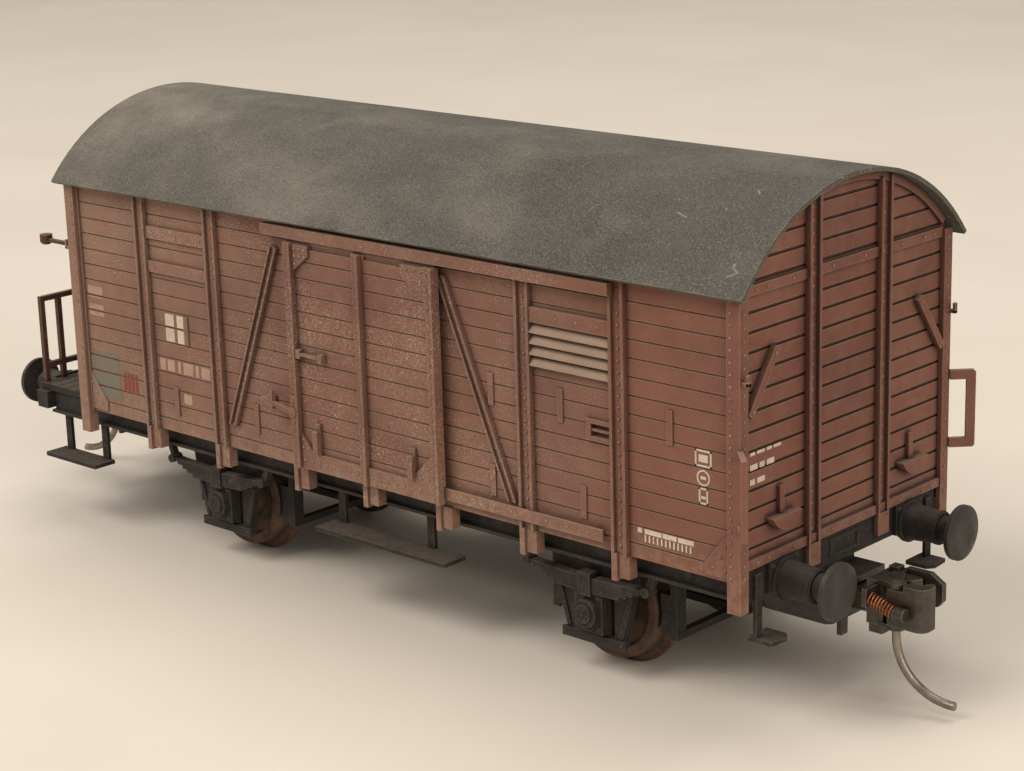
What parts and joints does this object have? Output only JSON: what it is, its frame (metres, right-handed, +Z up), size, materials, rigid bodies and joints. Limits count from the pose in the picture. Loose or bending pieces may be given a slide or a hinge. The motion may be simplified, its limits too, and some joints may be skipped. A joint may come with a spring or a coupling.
{
  "type": "model box car",
  "caption": "H0 scale covered goods wagon with barrel roof, sliding doors, handbrake platform, buffers and sprung knuckle couplers.",
  "frame": {"origin": "bottom centre of the whole wagon's box, at the level of the wheel flanges' lowest points", "axes": "+X towards the front end without the platform, +Y to the left side, +Z up; the middle of the wheelbase is at x = 5.25 mm"},
  "size_m": [0.1254, 0.036, 0.0479],
  "materials": {
    "body_paint": "matt red-brown, dusty weathering",
    "roof_paint": "matt dark grey with pale dust",
    "bare_plastic": "matt unpainted brown",
    "underframe_plastic": "matt black with brown dust",
    "railing_plastic": "matt dark brown",
    "ballast_steel": "rolled sheet, dull",
    "wheel_metal": "blackened and painted rust brown, bright tread",
    "axle_steel": "turned, dull",
    "bush_plastic": "black acetal",
    "bearing_brass": "turned brass",
    "buffer_metal": "dark blue-grey, smooth",
    "coupler_metal": "dark gunmetal, slightly glossy",
    "coupler_plastic": "black, slightly glossy",
    "spring_bronze": "bare phosphor bronze wire",
    "pin_steel": "bare drawn steel wire",
    "screw_steel": "bare steel"
  },
  "bodies": {
    "wagon": {"axle_bearings": "bearing_brass", "axle_box_front_left": "underframe_plastic", "axle_box_front_right": "underframe_plastic", "axle_box_rear_left": "underframe_plastic", "axle_box_rear_right": "underframe_plastic", "axle_guard_front_left": "underframe_plastic", "axle_guard_front_right": "underframe_plastic", "axle_guard_rear_left": "underframe_plastic", "axle_guard_rear_right": "underframe_plastic", "ballast_weight": "ballast_steel", "brake_gear_front": "underframe_plastic", "brake_gear_rear": "underframe_plastic", "buffer_head_front_left": "buffer_metal", "buffer_head_front_right": "buffer_metal", "buffer_head_rear_left": "buffer_metal", "buffer_head_rear_right": "buffer_metal", "buffer_housing_front_left": "underframe_plastic", "buffer_housing_front_right": "underframe_plastic", "buffer_housing_rear_left": "underframe_plastic", "buffer_housing_rear_right": "underframe_plastic", "corner_steps": "underframe_plastic", "coupler_box_front": "coupler_plastic", "coupler_box_rear": "coupler_plastic", "coupler_cover_front": "coupler_plastic", "coupler_cover_rear": "coupler_plastic", "cover_screws": "screw_steel", "door_rail_left": "body_paint", "door_rail_right": "body_paint", "end_wall_front": "body_paint", "end_wall_rear": "body_paint", "floor": "bare_plastic", "grab_handles": "body_paint", "handbrake": "railing_plastic", "long_step_left": "underframe_plastic", "long_step_right": "underframe_plastic", "platform_deck": "underframe_plastic", "platform_railing": "railing_plastic", "platform_steps": "underframe_plastic", "roof": "roof_paint", "side_wall_left": "body_paint", "side_wall_right": "body_paint", "underframe": "underframe_plastic"},
    "wheelset_front": {"axle_front": "axle_steel", "wheel_bush_front": "bush_plastic", "wheel_front_left": "wheel_metal", "wheel_front_right": "wheel_metal"},
    "wheelset_rear": {"axle_rear": "axle_steel", "wheel_bush_rear": "bush_plastic", "wheel_rear_left": "wheel_metal", "wheel_rear_right": "wheel_metal"},
    "coupler_front": {"coupler_head_front": "coupler_metal", "knuckle_spring_front": "spring_bronze"},
    "coupler_rear": {"coupler_head_rear": "coupler_metal", "knuckle_spring_rear": "spring_bronze"},
    "door_left": {"door_left": "body_paint"},
    "door_right": {"door_right": "body_paint"},
    "knuckle_front": {"knuckle_front": "coupler_metal", "trip_pin_front": "pin_steel"},
    "knuckle_rear": {"knuckle_rear": "coupler_metal", "trip_pin_rear": "pin_steel"}
  },
  "joints": [
    {"name": "door_right_slide", "type": "slide", "parent": "wagon", "child": "door_right", "axis": [1, 0, 0], "range_m": [0, 0.0194]},
    {"name": "door_left_slide", "type": "slide", "parent": "wagon", "child": "door_left", "axis": [-1, 0, 0], "range_m": [0, 0.0194]},
    {"name": "wheelset_front_spin", "type": "hinge", "parent": "wagon", "child": "wheelset_front", "pos_m": [0.03111, 0, 0.0065], "axis": [0, 1, 0], "continuous": true},
    {"name": "wheelset_rear_spin", "type": "hinge", "parent": "wagon", "child": "wheelset_rear", "pos_m": [-0.02061, 0, 0.0065], "axis": [0, 1, 0], "continuous": true},
    {"name": "coupler_front_swing", "type": "hinge", "parent": "wagon", "child": "coupler_front", "pos_m": [0.04675, 0, 0.0092], "axis": [0, 0, 1], "range_deg": [-14, 14], "stiffness_Nm_per_rad": 0.0003},
    {"name": "knuckle_front_open", "type": "hinge", "parent": "coupler_front", "child": "knuckle_front", "pos_m": [0.057, -0.0016, 0.0092], "axis": [0, 0, -1], "range_deg": [0, 25], "stiffness_Nm_per_rad": 0.00003, "springref_deg": -17.19},
    {"name": "coupler_rear_swing", "type": "hinge", "parent": "wagon", "child": "coupler_rear", "pos_m": [-0.04675, 0, 0.0092], "axis": [0, 0, 1], "range_deg": [-14, 14], "stiffness_Nm_per_rad": 0.0003},
    {"name": "knuckle_rear_open", "type": "hinge", "parent": "coupler_rear", "child": "knuckle_rear", "pos_m": [-0.057, 0.0016, 0.0092], "axis": [0, 0, -1], "range_deg": [0, 25], "stiffness_Nm_per_rad": 0.00003, "springref_deg": -17.19}
  ]
}
